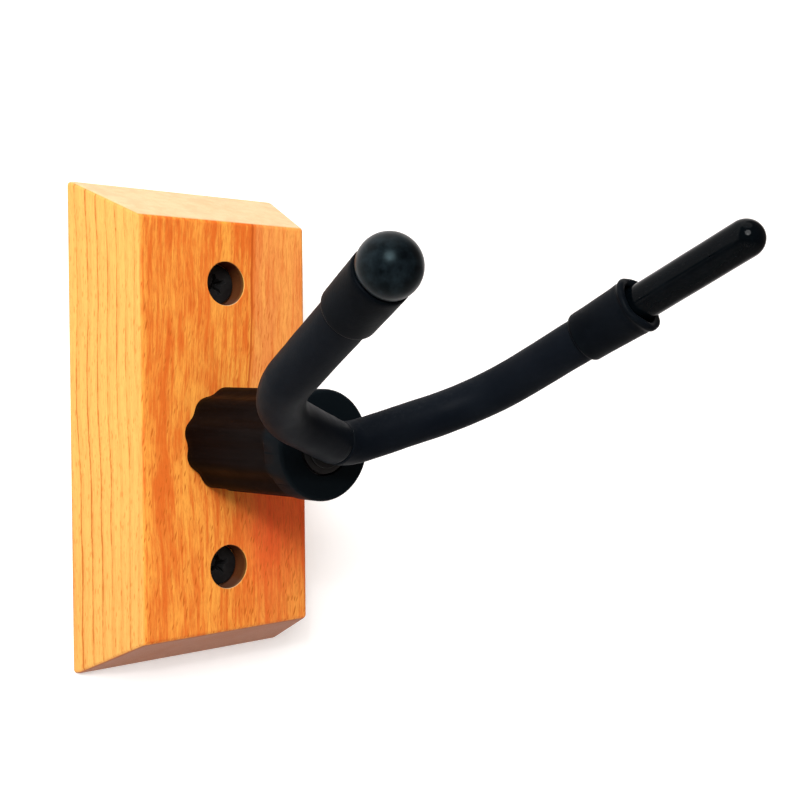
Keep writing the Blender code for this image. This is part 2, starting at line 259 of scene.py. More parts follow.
def buildHandling():
    # shared effect: uneven gloss from touching, with a few thin rubs
    w, given, out = newGroup(
        "handling",
        [("Place", "vector", None), ("Patch Size", "value", 12.0), ("Rub Length", "value", 10.0)],
        [("Smudge", "value"), ("Rub", "value")],
    )
    scale = w.math("DIVIDE", 1000.0, given["Patch Size"])
    patch = w.noise(given["Place"], scale, 4.0, 0.55, 0.6)
    w.feed(out["Smudge"], w.ease(patch, 0.38, 0.68))
    turned = w.add("ShaderNodeMapping", {"Vector": given["Place"], "Rotation": (0.5, 0.9, 0.3)}).outputs[0]
    longWay = w.math("DIVIDE", 1000.0, given["Rub Length"])
    stretch = w.add("ShaderNodeCombineXYZ", {0: longWay, 1: 2600.0, 2: 2600.0}).outputs[0]
    thin = w.stretched(turned, stretch, 2.0, 0.5)
    w.feed(out["Rub"], w.remap(thin, 0.70, 0.78))
    return w.tree


def buildEdges():
    # shared effect: 1 on outside edges, from a rounded normal against the true one
    w, given, out = newGroup(
        "edges",
        [("Width", "value", 0.6 * mm), ("Gain", "value", 3.0)],
        [("Edge", "value")],
    )
    soft = w.add("ShaderNodeBevel", {"Radius": given["Width"]}, samples=6).outputs[0]
    true = w.add("ShaderNodeNewGeometry").outputs["Normal"]
    facing = w.add("ShaderNodeVectorMath", {0: soft, 1: true}, operation="DOT_PRODUCT").outputs["Value"]
    w.feed(out["Edge"], w.times(w.minus(1.0, facing), given["Gain"], clamp=True))
    return w.tree


def buildSpeckle():
    # shared effect: matt grain of moulded plastic and rubber, and a little dust on top faces
    w, given, out = newGroup(
        "speckle",
        [("Place", "vector", None), ("Grain", "value", 0.35), ("Dust", "value", 0.3)],
        [("Height", "value"), ("Dust", "value")],
    )
    scale = w.math("DIVIDE", 1000.0, given["Grain"])
    w.feed(out["Height"], w.noise(given["Place"], scale, 2.0, 0.6))
    up = w.add("ShaderNodeSeparateXYZ", {0: w.add("ShaderNodeNewGeometry").outputs["Normal"]}).outputs[2]
    settled = w.ease(up, 0.1, 1.0)
    specks = w.remap(w.noise(given["Place"], 900.0, 3.0, 0.7), 0.5, 0.78)
    w.feed(out["Dust"], w.times(w.times(settled, specks), given["Dust"]))
    return w.tree


handling = buildHandling()
edges = buildEdges()
speckle = buildSpeckle()
print("shared effects made")


def marks(w, grainSize, dust, patchSize, rubLength):
    # the place on the piece, the fine grain with its dust, and the marks of handling
    place = w.add("ShaderNodeTexCoord").outputs["Object"]
    grain = w.group(speckle, {"Place": place, "Grain": grainSize, "Dust": dust}).outputs
    touched = w.group(handling, {"Place": place, "Patch Size": patchSize, "Rub Length": rubLength}).outputs
    return place, grain, touched


beech = {
    "orange": rgb(0.78, 0.318, 0.052),
    "red": rgb(0.62, 0.130, 0.018),
    "pink": rgb(0.76, 0.330, 0.100),
    "side": rgb(0.66, 0.355, 0.088),
    "sideDark": rgb(0.42, 0.120, 0.016),
    "endGrain": rgb(0.65, 0.45, 0.25),
    "endDark": rgb(0.48, 0.24, 0.11),
    "undersideShade": rgb(0.27, 0.080, 0.030),
    # redder wood at the lower right, and painted shadow colour below the hub
    "redWoodAndShadow": rgb(0.84, 0.100, 0.026),
    "fleck": rgb(0.44, 0.090, 0.010),
    "deep": rgb(0.40, 0.065, 0.010),
    # painted shade for the inside of the bored holes
    "hole": rgb(0.060, 0.011, 0.005),
    "darkLine": 7.4,
    "ringSpacing": 3.9,
    "fleckLean": -0.24,
    "fleckSizes": ((1.15, 6.2, 0.74, 0.11), (0.85, 4.0, 0.66, 0.10)),  # width, length, share, thickness
    "strip": 2.0 * mm,  # square edge at the wall
    "sideBevel": 6.4 * mm,
    "endBevel": 10.2 * mm,
    "arris": 1.0 * mm,
    "mouthRound": 0.3 * mm,
    "screwHeights": (37.2 * mm, -36.5 * mm),
    "bore": 5.65 * mm,
    "boreDepth": 5.7 * mm,
    "boreSides": 96,
    "seatLength": 3.2 * mm,
    "shankHole": 2.6 * mm,
    "socket": 7.8 * mm,
    "socketDepth": 6.3 * mm,
    "stemHole": 5.0 * mm,
    "pocket": 12.0 * mm,
    "pocketDepth": 13.0 * mm,
    "pocketRound": 0.35 * mm,
}


def beechFinish():
    finish, w, shader = newFinish("lacqueredBeech", Specular_IOR_Level=0.03, Coat_Roughness=0.3)
    coords = w.add("ShaderNodeTexCoord")
    place = w.scaled(coords.outputs["Object"], (1000.0, 1000.0, 1000.0))  # millimetres
    axes = w.add("ShaderNodeSeparateXYZ", {0: place}).outputs
    facing = w.add("ShaderNodeSeparateXYZ", {0: coords.outputs["Normal"]}).outputs
    onEnd = w.ease(w.math("ABSOLUTE", facing[2]), 0.55, 0.8)
    onSide = w.ease(w.math("ABSOLUTE", facing[0]), 0.45, 0.8)

    # slow sideways drift of the grain along its length
    drift = w.stretched(place, (0.012, 0.012, 0.022), 2.0)
    drift = w.remap(drift, 0.3, 0.7, -1.5, 1.5)
    x = w.plus(axes[0], drift)
    y = w.plus(axes[1], w.times(drift, 0.5))
    grain = w.add("ShaderNodeCombineXYZ", {0: x, 1: y, 2: axes[2]}).outputs[0]

    # broad bands and fine streaks that run up the board
    broad = w.stretched(grain, (0.17, 0.22, 0.013), 3.0, 0.55)
    streak = w.stretched(grain, (1.0, 1.1, 0.060), 4.0, 0.65)
    hair = w.stretched(grain, (3.2, 3.2, 0.36), 3.0, 0.7)
    mottle = w.stretched(place, (0.20, 0.20, 0.11), 4.0, 0.65)
    tone = w.plus(w.times(broad, 0.38), w.times(streak, 0.40))
    tone = w.plus(tone, w.times(mottle, 0.22))
    band = w.ease(tone, 0.40, 0.60)

    # one dark growth line runs down the upper half of the face, with paler wood beyond it
    fromLine = w.minus(x, beech["darkLine"])
    seamLine = w.ease(w.math("ABSOLUTE", fromLine), 0.14, 0.50, 0.80, 0.0)
    seamLine = w.times(seamLine, w.ease(axes[2], -6.0, 14.0))
    beyond = w.times(w.remap(fromLine, 0.0, 1.5), w.remap(axes[2], -20.0, 10.0, 0.10, 0.42))

    # growth rings lie almost flat behind the face, so they show as fine lines on the sides
    depth = w.plus(w.plus(y, w.times(x, 0.13)), w.times(streak, 1.1))
    depth = w.minus(depth, w.times(w.times(y, y), 0.008))
    phase = w.math("FRACT", w.math("DIVIDE", depth, beech["ringSpacing"]))
    line = w.times(w.remap(phase, 0.04, 0.16, 1.0, 0.0), w.remap(phase, 0.0, 0.03))
    line = w.times(line, w.remap(hair, 0.36, 0.56, 0.45, 1.0))
    line = w.times(line, w.remap(axes[1], -22.0, -6.0, 0.55, 1.35))
    broken = w.stretched(place, (0.1, 0.35, 0.02), 2.0)
    line = w.times(line, w.remap(broken, 0.36, 0.56, 0.35, 1.25))
    late = w.ease(phase, 0.60, 1.0, 0.0, 0.45)
    ring = w.plus(w.times(line, 1.1), w.times(late, 0.42), clamp=True)

    # ray flecks: short dark dashes leaning a little off the grain
    tilt = (0.0, beech["fleckLean"], 0.0)
    lean = w.add("ShaderNodeMapping", {"Vector": place, "Rotation": tilt}).outputs[0]
    flecks = None
    for size, length, share, rim in beech["fleckSizes"]:
        shrink = (1.0 / size, 1.0 / size, 1.0 / length)
        cell = w.add("ShaderNodeTexVoronoi", {"Vector": w.scaled(lean, shrink), "Scale": 1.0,
                                              "Randomness": 0.9})
        chance = w.add("ShaderNodeSeparateColor", {0: cell.outputs["Color"]}).outputs[0]
        kept = w.remap(chance, share, share + 0.06, 1.0, 0.0)
        dash = w.ease(cell.outputs["Distance"], rim, rim + 0.16, 1.0, 0.0)
        dash = w.times(dash, kept)
        flecks = dash if flecks is None else w.math("MAXIMUM", flecks, dash)
    patchy = w.stretched(place, (0.05, 0.05, 0.03), 2.0)
    fewer = w.remap(w.plus(axes[2], w.times(axes[0], 1.2)), -60.0, 70.0, 0.30, -0.25)  # thinner at the top
    flecks = w.times(flecks, w.remap(w.plus(patchy, fewer), 0.38, 0.62, 0.25, 1.0))

    # end grain: pores as dots
    tight = w.scaled(place, (2.6, 2.6, 0.4))
    pores = w.add("ShaderNodeTexVoronoi", {"Vector": tight, "Scale": 1.0})
    dots = w.remap(pores.outputs["Distance"], 0.12, 0.30, 1.0, 0.0)

    face = w.blend(beyond, w.blend(band, beech["orange"], beech["red"]), beech["pink"])
    face = w.blend(w.ease(streak, 0.50, 0.66, 0.0, 0.42), face, beech["red"])
    # partly a redder tone of the wood at the lower right, partly painted shadow: the face below and right of
    # the hub, where the hub's shadow falls, is painted darker and redder
    redWoodAndShadow = w.times(w.ease(axes[0], -2.0, 13.0), w.ease(axes[2], -52.0, -24.0, 0.12, 0.85))
    redWoodAndShadow = w.times(redWoodAndShadow, w.ease(axes[2], -10.0, 6.0, 1.0, 0.0))
    redWoodAndShadow = w.times(redWoodAndShadow, w.ease(axes[1], -22.0, -8.0, 1.0, 0.0))
    face = w.blend(redWoodAndShadow, face, beech["redWoodAndShadow"])
    face = w.blend(seamLine, face, beech["deep"])
    face = w.blend(w.remap(hair, 0.46, 0.68, 0.0, 0.42), face, beech["deep"])
    sideTone = w.plus(w.times(ring, 0.95), w.remap(hair, 0.46, 0.76, 0.0, 0.32))
    sideTone = w.plus(sideTone, w.remap(streak, 0.45, 0.70, 0.0, 0.22), clamp=True)
    # painted shade: the side bevels turn darker towards the bottom
    sideTone = w.plus(sideTone, w.ease(axes[2], -60.0, -5.0, 0.13, 0.0), clamp=True)
    side = w.blend(sideTone, beech["side"], beech["sideDark"])
    end = w.blend(w.plus(w.times(dots, 0.40), w.times(ring, 0.22), clamp=True),
                  beech["endGrain"], beech["endDark"])
    end = w.blend(w.remap(mottle, 0.42, 0.62, 0.0, 0.28), end, beech["endDark"])
    # painted shade: end grain that faces down is blended strongly darker
    end = w.blend(w.remap(facing[2], -0.7, -0.5, 0.92, 0.0), end, beech["undersideShade"])
    colour = w.blend(onSide, face, side)
    fleckShare = w.times(flecks, w.remap(onSide, 0.0, 1.0, 0.80, 0.40))
    colour = w.blend(fleckShare, colour, beech["fleck"])
    colour = w.blend(onEnd, colour, end)

    # inside the bored holes the wood is raw and rougher, and its colour is painted almost black as the shade
    # in the holes; outside edges are rubbed paler
    wall = w.times(w.remap(w.math("ABSOLUTE", facing[1]), 0.0, 0.2, 1.0, 0.0),
                   w.remap(w.math("ABSOLUTE", axes[0]), 7.0, 8.0, 1.0, 0.0))
    wall = w.times(wall, w.remap(w.math("ABSOLUTE", axes[2]), 48.0, 50.0, 1.0, 0.0))
    mouth = blockFront / mm
    inside = w.times(wall, w.remap(axes[1], mouth + 0.1, mouth + 1.6, 0.85, 1.0))
    colour = w.blend(w.times(inside, 0.95), colour, beech["hole"])
    edge = w.group(edges, {"Width": 0.7 * mm, "Gain": 2.2}).outputs["Edge"]
    rubbed = w.times(w.times(edge, 0.28), w.minus(1.0, inside))
    colour = w.blend(rubbed, colour, beech["side"])
    w.feed(shader["Base Color"], colour)

    handled = {"Place": coords.outputs["Object"], "Patch Size": 26.0, "Rub Length": 14.0}
    touched = w.group(handling, handled).outputs
    rough = w.plus(0.36, w.times(streak, 0.14))
    rough = w.plus(rough, w.times(touched["Smudge"], 0.07))
    w.feed(shader["Roughness"], w.plus(rough, w.times(inside, 0.3)))
    sound = w.minus(1.0, inside, clamp=True)
    polish = w.times(sound, w.remap(onEnd, 0.0, 1.0, 1.0, 0.2))
    polish = w.times(polish, w.minus(1.0, flecks))
    w.feed(shader["Coat Weight"], w.times(polish, 0.08))
    relief = w.minus(w.times(hair, 0.4), w.times(flecks, 0.3))
    relief = w.minus(relief, w.times(w.times(dots, onEnd), 0.6))
    w.feed(shader["Normal"], w.bump(relief, 0.35, 0.08 * mm))
    return finish


def screwHole(height):
    # counterbore with a softened mouth, a sloping seat for the head and a clearance hole
    bore, shank, soft = beech["bore"], beech["shankHole"], beech["mouthRound"]
    seat = blockFront + beech["boreDepth"]
    profile = [(blockFront - 0.5 * mm, bore + soft)]
    profile += [(blockFront + soft - soft * math.cos(a), bore + soft - soft * math.sin(a))
                for a in (0.0, 0.4, 0.8, 1.2, math.pi / 2.0)]
    profile += [(seat, bore), (seat + beech["seatLength"], shank), (1.0 * mm, shank)]
    return turnOnSwivel(profile, beech["boreSides"], height=height)


def buildBlock():
    halfWidth = (blockHigh.x - blockLow.x) / 2.0
    halfHeight = (blockHigh.z - blockLow.z) / 2.0
    stations = ((0.0, 0.0, 0.0), (-beech["strip"], 0.0, 0.0),
                (blockFront, beech["sideBevel"], beech["endBevel"]))
    rings = []
    for y, inX, inZ in stations:
        across, up = halfWidth - inX, halfHeight - inZ
        rings.append([Vector((-across, y, -up)), Vector((across, y, -up)),
                      Vector((across, y, up)), Vector((-across, y, up))])
    points, faces = skin(rings)
    block = makePiece("beechBlock", points, faces, "base")
    soften = block.modifiers.new("arris", "BEVEL")
    soften.width = beech["arris"]
    soften.segments = 5
    soften.limit_method = "ANGLE"
    soften.angle_limit = math.radians(3.0)
    settle(block)
    for height in beech["screwHeights"]:
        carve(block, screwHole(height))
    # socket for the stand-off in front, hole for the stem, round pocket for washers and nut behind
    socket, stemHole, pocket = beech["socket"], beech["stemHole"], beech["pocket"]
    socketEnd, pocketEnd = blockFront + beech["socketDepth"], -beech["pocketDepth"]
    soft = beech["pocketRound"]
    swivelHole = [(blockFront - 1.0 * mm, socket), (socketEnd, socket), (socketEnd, stemHole),
                  (pocketEnd, stemHole), (pocketEnd, pocket), (-0.3 * mm, pocket),
                  (-0.3 * mm + soft, pocket + soft), (1.0 * mm, pocket + soft)]
    carve(block, turnOnSwivel(swivelHole, beech["boreSides"]))
    block.data.shade_smooth()
    block.data.set_sharp_from_angle(angle=math.radians(32.0))
    block.modifiers.new("flat faces", "WEIGHTED_NORMAL").keep_sharp = True
    settle(block)
    block.data.materials.clear()
    block.data.materials.append(beechFinish())
    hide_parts("wood_base")


buildBlock()
print("beech block made")


hub = {
    "radius": 13.6 * mm,
    "frontRadius": 13.3 * mm,
    "edge": 1.0 * mm,
    "collar": 8.0 * mm,
    "fade": 1.6 * mm,
    "flutes": 10,
    "fluteDepth": 0.9 * mm,
    "fluteTurn": math.radians(24.0),
    "spigot": 7.5 * mm,
    "dish": ((0.12 * mm, 10.2 * mm), (0.18 * mm, 7.9 * mm)),  # depth and radius on the front face
    "bushBore": 6.0 * mm,
    "stemBore": 4.9 * mm,
    "flange": 1.5 * mm,
    "washerSeat": 7.3 * mm,
    "dust": rgb(0.20, 0.19, 0.18),
    "colour": rgb(0.0022, 0.0014, 0.0013),
    "worn": rgb(0.0058, 0.0040, 0.0038),
    # painted cool reflection on the smooth front collar
    "collarCoolReflection": rgb(0.0032, 0.0056, 0.0074),
}


def hubFinish():
    finish, w, shader = newFinish("mouldedHub", Specular_IOR_Level=0.014)
    place, grain, touched = marks(w, 0.30, 0.35, 9.0, 12.0)
    edge = w.group(edges, {"Width": 0.5 * mm, "Gain": 3.0}).outputs["Edge"]
    flow = w.stretched(place, (900.0, 45.0, 900.0), 3.0, 0.6)
    along = w.add("ShaderNodeSeparateXYZ", {0: place}).outputs[1]
    onCollar = w.remap(along, hubLow.y + hub["collar"] - 2.0 * mm, hubLow.y + hub["collar"], 1.0, 0.0)
    tone = w.blend(w.remap(flow, 0.35, 0.75, 0.0, 0.7), hub["colour"], hub["worn"])
    # painted reflection: the smooth front collar is tinted blue, as the cool light it reflects
    tone = w.blend(w.times(onCollar, 0.85), tone, hub["collarCoolReflection"])
    tone = w.blend(w.times(edge, 0.5), tone, hub["worn"])
    tone = w.blend(w.times(grain["Dust"], 0.05), tone, hub["dust"])
    w.feed(shader["Base Color"], tone)
    rough = w.plus(0.36, w.times(touched["Smudge"], 0.10))
    w.feed(shader["Roughness"], w.plus(rough, w.times(flow, 0.10)))
    height = w.plus(w.times(grain["Height"], 0.5), w.times(flow, 0.8))
    w.feed(shader["Normal"], w.bump(height, 0.30, 0.05 * mm))
    return finish


def buildHub():
    front = hubLow.y
    back = blockFront - gap
    edge = hub["edge"]
    stations = [(hubHigh.y, hub["spigot"] - 0.4 * mm, 0.0), (hubHigh.y - 0.4 * mm, hub["spigot"], 0.0),
                (back, hub["spigot"], 0.0), (back, hub["radius"] - 0.5 * mm, 0.9),
                (back - 0.12 * mm, hub["radius"] - 0.15 * mm, 1.0), (back - 0.5 * mm, hub["radius"], 1.0)]
    fluteEnd = front + hub["collar"]
    for k in range(1, 12):
        share = k / 11.0
        y = back - 0.5 * mm + (fluteEnd - back + 0.5 * mm) * share
        stations.append((y, hub["radius"] + (hub["frontRadius"] - hub["radius"]) * share, 1.0))
    # the flutes run out in scoops against the smooth collar
    for k in range(1, 9):
        share = k / 8.0
        scoop = math.cos(math.pi / 2.0 * share) ** 0.8 if k < 8 else 0.0
        stations.append((fluteEnd - hub["fade"] * share, hub["frontRadius"], scoop))
    for k in range(7):
        angle = math.pi / 2.0 * k / 6
        stations.append((front + edge - edge * math.sin(angle),
                         hub["frontRadius"] - edge + edge * math.cos(angle), 0.0))
    stations += [(front + depth, radius, 0.0) for depth, radius in hub["dish"]]
    sides = hub["flutes"] * 24
    rings = []
    for y, radius, share in stations:
        ring = []
        for k in range(sides):
            angle = fullTurn * k / sides
            wave = 0.5 - 0.5 * math.cos(hub["flutes"] * (angle - hub["fluteTurn"]))
            r = radius - share * hub["fluteDepth"] * wave ** 1.15
            ring.append(Vector((r * math.cos(angle), y, swivelHeight + r * math.sin(angle))))
        rings.append(ring)
    points, faces = skin(rings)
    piece = makePiece("flutedHub", points, faces, "base")
    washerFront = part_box("hub_thrust_washer")[0].y
    bushLow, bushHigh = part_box("hub_front_bush")
    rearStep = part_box("hub_rear_bush")[0].y - gap
    frontStep = bushHigh.y + gap
    flange = bushLow.y + hub["flange"]
    bushBore, stemBore, seat = hub["bushBore"], hub["stemBore"], hub["washerSeat"]
    bore = [(hubHigh.y + 1.0 * mm, bushBore), (rearStep, bushBore), (rearStep, stemBore),
            (frontStep, stemBore), (frontStep, bushBore), (flange, bushBore), (flange, seat),
            (washerFront + 0.15 * mm, seat), (washerFront - 0.05 * mm, seat + 0.2 * mm),
            (washerFront - 1.0 * mm, seat + 0.2 * mm)]
    carve(piece, turnOnSwivel(bore, 80))
    dress(piece, hubFinish(), "fluted_hub", smooth=50.0)


buildHub()
print("hub made")


rubber = {
    "colour": rgb(0.0023, 0.0036, 0.0058),
    "bloom": rgb(0.0095, 0.0125, 0.0165),
    "cuffColour": rgb(0.0006, 0.0013, 0.0023),
    "dust": rgb(0.20, 0.20, 0.20),
    "rough": 0.48,
    "cuffRough": 0.42,
    "shine": 0.020,
}
gloss = {
    "colour": rgb(0.0006, 0.0012, 0.0018),
    "bloom": rgb(0.0018, 0.0032, 0.0044),
    "dullColour": rgb(0.016, 0.027, 0.034),
    "dust": rgb(0.20, 0.20, 0.20),
    "tip": (0.055, 0.045, 0.01, rgb(1.0, 1.0, 1.0)),  # roughness, shine, dullness, tint of the shine
    "dome": (0.28, 0.065, 0.40, rgb(0.62, 0.92, 1.0)),
}


def rubberFinish(name, colour, rough):
    finish, w, shader = newFinish(name, Specular_IOR_Level=rubber["shine"])
    place, grain, touched = marks(w, 0.42, 0.5, 15.0, 6.0)
    edge = w.group(edges, {"Width": 0.4 * mm, "Gain": 2.5}).outputs["Edge"]
    cloud = w.noise(place, 70.0, 4.0, 0.6)
    tone = w.blend(w.remap(cloud, 0.35, 0.7, 0.0, 0.22), colour, rubber["bloom"])
    tone = w.blend(w.times(edge, 0.35), tone, rubber["bloom"])
    tone = w.blend(w.times(touched["Rub"], 0.25), tone, rubber["bloom"])
    tone = w.blend(w.times(grain["Dust"], 0.05), tone, rubber["dust"])
    w.feed(shader["Base Color"], tone)
    uneven = w.plus(rough, w.times(touched["Smudge"], -0.10))
    w.feed(shader["Roughness"], w.plus(uneven, w.times(cloud, 0.12)))
    height = w.plus(grain["Height"], w.times(w.noise(place, 260.0, 2.0), 1.5))
    w.feed(shader["Normal"], w.bump(height, 0.40, 0.07 * mm))
    return finish


def vinylFinish(name, smoothness, shine, dull, tint):
    finish, w, shader = newFinish(name, Specular_IOR_Level=shine, Specular_Tint=tint)
    place, grain, touched = marks(w, 1.6, 0.4, 7.0, 5.0)
    tone = w.blend(w.times(touched["Smudge"], 0.3), gloss["colour"], gloss["bloom"])
    cloud = w.remap(w.noise(place, 420.0, 3.0, 0.6), 0.4, 0.8, 0.0, dull)
    tone = w.blend(cloud, tone, gloss["dullColour"])
    w.feed(shader["Base Color"], w.blend(w.times(grain["Dust"], 0.012), tone, gloss["dust"]))
    rough = w.plus(smoothness, w.times(touched["Smudge"], 0.06))
    w.feed(shader["Roughness"], w.plus(rough, w.times(touched["Rub"], 0.08)))
    w.feed(shader["Normal"], w.bump(grain["Height"], 0.10, 0.08 * mm))
    return finish


def prongFrame(hand):
    elbow = swivel + Vector((hand * yoke["elbow"].x, yoke["elbow"].y, yoke["elbow"].z))
    along = Vector((hand * yoke["prong"].x, yoke["prong"].y, yoke["prong"].z))
    side = along.cross(Vector((0.0, 0.0, 1.0))).normalized()
    return elbow, along, side


def roundedPath(corners, bends, stepAngle, stepLength):
    # tangent arcs at the inner corners, straight runs cut into short steps
    path = [Vector(corners[0])]

    def runTo(point):
        start = path[-1]
        steps = max(1, round((point - start).length / stepLength))
        for k in range(1, steps + 1):
            path.append(start.lerp(point, k / steps))

    for i in range(1, len(corners) - 1):
        corner = Vector(corners[i])
        back = (Vector(corners[i - 1]) - corner).normalized()
        ahead = (Vector(corners[i + 1]) - corner).normalized()
        half = back.angle(ahead) / 2.0
        radius = bends[i - 1]
        middle = corner + (back + ahead).normalized() * radius / math.sin(half)
        arm = corner + back * radius / math.tan(half) - middle
        sweep = math.pi - 2.0 * half
        spin = arm.cross(back * -1.0).normalized()
        runTo(middle + arm)
        steps = max(2, round(math.degrees(sweep) / stepAngle / 2.0) * 2)
        for k in range(1, steps + 1):
            path.append(middle + Matrix.Rotation(sweep * k / steps, 3, spin) @ arm)
    runTo(Vector(corners[-1]))
    return path


def armPath(hand, reach):
    elbow, along, _ = prongFrame(hand)
    otherElbow, _, _ = prongFrame(-hand)
    path = roundedPath([otherElbow, swivel, elbow, elbow + along * reach],
                       [yoke["middleBend"], yoke["elbowBend"]], 2.5, 1.2 * mm)
    first = next(i for i, p in enumerate(path) if abs(p.x) < 0.01 * mm and i > 0)
    return path[first:]


def alongPath(path, radii, sides, firstTangent=None, shape=None):
    rings = []
    side = None
    run = 0.0
    for i, point in enumerate(path):
        ahead = path[min(i + 1, len(path) - 1)]
        behind = path[max(i - 1, 0)]
        tangent = firstTangent if firstTangent is not None and i == 0 else (ahead - behind).normalized()
        side = side or tangent.cross(Vector((0.0, 0.0, 1.0))).normalized()
        side = (side - tangent * side.dot(tangent)).normalized()
        lift = side.cross(tangent)
        run += (point - behind).length
        ring = []
        for k in range(sides):
            angle = fullTurn * k / sides
            grow = shape(run, angle) if shape else 0.0
            ring.append(point + (side * math.cos(angle) + lift * math.sin(angle)) * (radii[i] + grow))
        rings.append(ring)
    return rings


def handCut(run, angle):
    # soft tube is never quite true: a slow wander of a few hundredths
    spot = Vector((math.cos(angle) * 0.9, math.sin(angle) * 0.9, run / (9.0 * mm)))
    return 0.07 * mm * noise.noise(spot) + 0.03 * mm * noise.noise(spot * 3.1)


def buildTube(name, node, hand, reach, surface):
    # the two tubes meet a little to the left of the middle
    left = armPath(-1.0, reach)
    index = min(range(len(left)), key=lambda i: abs(left[i].x + yoke["seam"]))
    seam = left[index]
    away = (left[index + 1] - left[index - 1]).normalized()
    path = left[index:] if hand < 0.0 else list(reversed(left[1:index + 1])) + armPath(hand, reach)
    square = away if hand < 0.0 else -away
    lip = yoke["seamLip"]
    start = seam + square * 0.15 * mm
    lead = [start, start + square * 0.06 * mm, start + square * 0.2 * mm, start + square * lip]
    line = lead + [p for p in path if (p - start).dot(square) > 0.7 * mm or (p - start).length > 3.0 * mm]
    full = yoke["tubeRadius"]
    radii = [full - lip, full - 0.5 * lip, full - 0.15 * lip] + [full] * (len(line) - 3)
    sides = yoke["sides"]
    outer = alongPath(line, radii, sides, square, lambda run, angle: handCut(run, angle + hand))
    inner = alongPath(line, [yoke["tubeBore"]] * len(line), sides, square)
    inner.reverse()
    points, faces = skin(outer + inner, closed=True)
    tube = makePiece(name, points, faces, "yoke")
    notch = [(hubLow.y, yoke["noseHole"]), (swivel.y - 1.3 * mm, yoke["noseHole"])]
    carve(tube, turnOnSwivel(notch, 40))
    dress(tube, surface, node, smooth=60.0)


ends = {
    "bore": 5.4 * mm,
    "cuff": 6.0 * mm,
    "leftCuff": (39.0 * mm, 52.0 * mm),
    "rightCuff": (31.5 * mm, 47.8 * mm),
    "lip": 6.75 * mm,
    "bead": 0.95 * mm,
    "leftDome": (54.8 * mm, 6.1 * mm),
    "rightTip": (74.3 * mm, 4.2 * mm),
    "leftSeat": 45.5 * mm,
    "rightSeat": 39.0 * mm,
    "sides": 88,
}


def endPiece(name, node, hand, profile, surface, hollow, shape=None):
    elbow, along, side = prongFrame(hand)
    rings = turn(elbow, along, side, profile, ends["sides"], shape)
    points, faces = skin(rings, closed=hollow)
    dress(makePiece(name, points, faces, "yoke"), surface, node, smooth=55.0)


def buildLeftEnd(cuffSurface, capSurface):
    start, stop = ends["leftCuff"]
    bore, out = ends["bore"], ends["cuff"]
    cuff = [(start + 0.1 * mm, bore), (start, bore + 0.15 * mm), (start, out - 0.40 * mm),
            (start + 0.12 * mm, out - 0.25 * mm), (start + 0.4 * mm, out - 0.12 * mm)]
    cuff += [(start + 0.9 * mm + (stop - start - 2.2 * mm) * k / 10, out - 0.1 * mm + 0.1 * mm * k / 10)
             for k in range(11)]
    cuff += [(stop - 0.5 * mm, out), (stop - 0.15 * mm, out - 0.12 * mm),
             (stop, out - 0.3 * mm), (stop, bore)]

    def soft(distance, angle, radius):
        spot = Vector((math.cos(angle), math.sin(angle), distance / (6.0 * mm)))
        return distance + 0.12 * mm * noise.noise(spot * 1.7), radius + 0.05 * mm * noise.noise(spot * 1.3)

    endPiece("leftCuff", "left_cuff", -1.0, cuff, cuffSurface, True, soft)
    centre, big = ends["leftDome"]
    seat = ends["leftSeat"] + gap
    skirt = bore - gap
    cap = [(centre + 2.0 * mm, 0.6 * mm), (centre + 2.0 * mm, yoke["tubeBore"]), (seat, yoke["tubeBore"]),
           (seat, skirt), (stop + gap, skirt), (stop + gap, big - 0.75 * mm),
           (stop + 0.4 * mm, big - 0.5 * mm)]
    first = math.asin((stop + 0.75 * mm - centre) / big)
    for k in range(25):
        angle = first + (math.pi / 2.0 - 0.02 - first) * k / 24
        cap.append((centre + big * math.sin(angle), big * math.cos(angle)))
    endPiece("leftRoundCap", "left_end_cap", -1.0, cap, capSurface, False)


